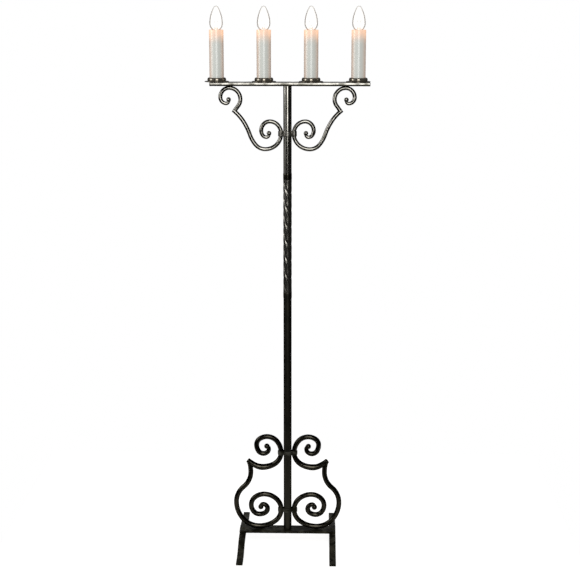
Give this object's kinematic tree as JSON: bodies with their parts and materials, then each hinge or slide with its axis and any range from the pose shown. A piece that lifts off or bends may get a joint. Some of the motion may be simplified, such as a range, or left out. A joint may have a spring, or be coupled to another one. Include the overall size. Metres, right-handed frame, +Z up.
{
  "type": "floor candelabrum",
  "caption": "Wrought iron floor candelabrum: scrolled base with arched feet, twisted post, and a scroll-braced bar of electric candles in drip pans.",
  "frame": {"origin": "on the floor under the post's axis", "axes": "+Z up along the post, +X along the candle bar to the right as pictured, -Y to the front"},
  "size_m": [0.4322, 0.356, 1.4691],
  "materials": {
    "wrought_iron": "forged, blackened and waxed, with worn bright edges",
    "pan_enamel": "glossy brown-black enamel",
    "sleeve_ivory": "smooth glossy ivory plastic",
    "lamp_glass": "clear blown glass",
    "stem_glass": "clear pressed glass",
    "cap_nickel": "nickel-plated brass",
    "filament_wire": "drawn wire",
    "holder_phenolic": "moulded phenolic, satin",
    "holder_brass": "pressed brass",
    "zinc_steel": "zinc-plated steel",
    "lead_sheath": "extruded sheath",
    "terminal_white": "moulded, matt",
    "bush_rubber": "moulded, matt"
  },
  "bodies": {
    "stand": {"foot_left": "wrought_iron", "foot_right": "wrought_iron", "base_crossbar": "wrought_iron", "foot_rivets": "wrought_iron", "base_scroll_left": "wrought_iron", "base_scroll_right": "wrought_iron", "base_collar_lower": "wrought_iron", "base_collar_upper": "wrought_iron", "post_lower_tube": "wrought_iron", "post_lower_ferrule": "wrought_iron", "post_twisted_bar": "wrought_iron", "post_upper_ferrule": "wrought_iron", "post_upper_tube": "wrought_iron", "bracket_scroll_left": "wrought_iron", "bracket_scroll_right": "wrought_iron", "bracket_collar": "wrought_iron", "candle_bar": "wrought_iron", "bar_end_plugs": "wrought_iron", "cord_bush": "bush_rubber", "post_top_plug": "zinc_steel", "post_nipple": "zinc_steel", "post_nut": "zinc_steel", "lamp_risers": "zinc_steel", "pan_nuts": "zinc_steel", "terminal_block": "terminal_white", "lamp_leads": "lead_sheath", "holder_shells": "holder_brass", "holder_contacts": "holder_brass", "drip_pan_1": "pan_enamel", "drip_pan_2": "pan_enamel", "drip_pan_3": "pan_enamel", "drip_pan_4": "pan_enamel", "lampholder_1": "holder_phenolic", "lampholder_2": "holder_phenolic", "lampholder_3": "holder_phenolic", "lampholder_4": "holder_phenolic"},
    "sleeve_1": {"candle_sleeve_1": "sleeve_ivory"},
    "lamp_1_lift": {"lamp_stem_1": "stem_glass"},
    "lamp_1": {"lamp_glass_1": "lamp_glass", "lamp_cap_1": "cap_nickel", "lamp_filament_1": "filament_wire"},
    "sleeve_2": {"candle_sleeve_2": "sleeve_ivory"},
    "lamp_2_lift": {"lamp_stem_2": "stem_glass"},
    "lamp_2": {"lamp_glass_2": "lamp_glass", "lamp_cap_2": "cap_nickel", "lamp_filament_2": "filament_wire"},
    "sleeve_3": {"candle_sleeve_3": "sleeve_ivory"},
    "lamp_3_lift": {"lamp_stem_3": "stem_glass"},
    "lamp_3": {"lamp_glass_3": "lamp_glass", "lamp_cap_3": "cap_nickel", "lamp_filament_3": "filament_wire"},
    "sleeve_4": {"candle_sleeve_4": "sleeve_ivory"},
    "lamp_4_lift": {"lamp_stem_4": "stem_glass"},
    "lamp_4": {"lamp_glass_4": "lamp_glass", "lamp_cap_4": "cap_nickel", "lamp_filament_4": "filament_wire"}
  },
  "joints": [
    {"name": "sleeve_1_lift_off", "type": "slide", "parent": "stand", "child": "sleeve_1", "axis": [0, 0, 1], "range_m": [0, 0.205]},
    {"name": "lamp_1_rise", "type": "slide", "parent": "stand", "child": "lamp_1_lift", "axis": [0, 0, 1], "range_m": [0, 0.0143]},
    {"name": "lamp_1_unscrew", "type": "hinge", "parent": "lamp_1_lift", "child": "lamp_1", "pos_m": [-0.1842, 0, 1.3971], "axis": [0, 0, 1], "range_deg": [0, 1800]},
    {"name": "sleeve_2_lift_off", "type": "slide", "parent": "stand", "child": "sleeve_2", "axis": [0, 0, 1], "range_m": [0, 0.205]},
    {"name": "lamp_2_rise", "type": "slide", "parent": "stand", "child": "lamp_2_lift", "axis": [0, 0, 1], "range_m": [0, 0.0143]},
    {"name": "lamp_2_unscrew", "type": "hinge", "parent": "lamp_2_lift", "child": "lamp_2", "pos_m": [-0.0614, 0, 1.3971], "axis": [0, 0, 1], "range_deg": [0, 1800]},
    {"name": "sleeve_3_lift_off", "type": "slide", "parent": "stand", "child": "sleeve_3", "axis": [0, 0, 1], "range_m": [0, 0.205]},
    {"name": "lamp_3_rise", "type": "slide", "parent": "stand", "child": "lamp_3_lift", "axis": [0, 0, 1], "range_m": [0, 0.0143]},
    {"name": "lamp_3_unscrew", "type": "hinge", "parent": "lamp_3_lift", "child": "lamp_3", "pos_m": [0.0614, 0, 1.3971], "axis": [0, 0, 1], "range_deg": [0, 1800]},
    {"name": "sleeve_4_lift_off", "type": "slide", "parent": "stand", "child": "sleeve_4", "axis": [0, 0, 1], "range_m": [0, 0.205]},
    {"name": "lamp_4_rise", "type": "slide", "parent": "stand", "child": "lamp_4_lift", "axis": [0, 0, 1], "range_m": [0, 0.0143]},
    {"name": "lamp_4_unscrew", "type": "hinge", "parent": "lamp_4_lift", "child": "lamp_4", "pos_m": [0.1842, 0, 1.3971], "axis": [0, 0, 1], "range_deg": [0, 1800]}
  ],
  "couplings": [
    {"joint": "lamp_1_rise", "follows": "lamp_1_unscrew", "m_per_rad": 0.00044882},
    {"joint": "lamp_2_rise", "follows": "lamp_2_unscrew", "m_per_rad": 0.00044882},
    {"joint": "lamp_3_rise", "follows": "lamp_3_unscrew", "m_per_rad": 0.00044882},
    {"joint": "lamp_4_rise", "follows": "lamp_4_unscrew", "m_per_rad": 0.00044882}
  ]
}
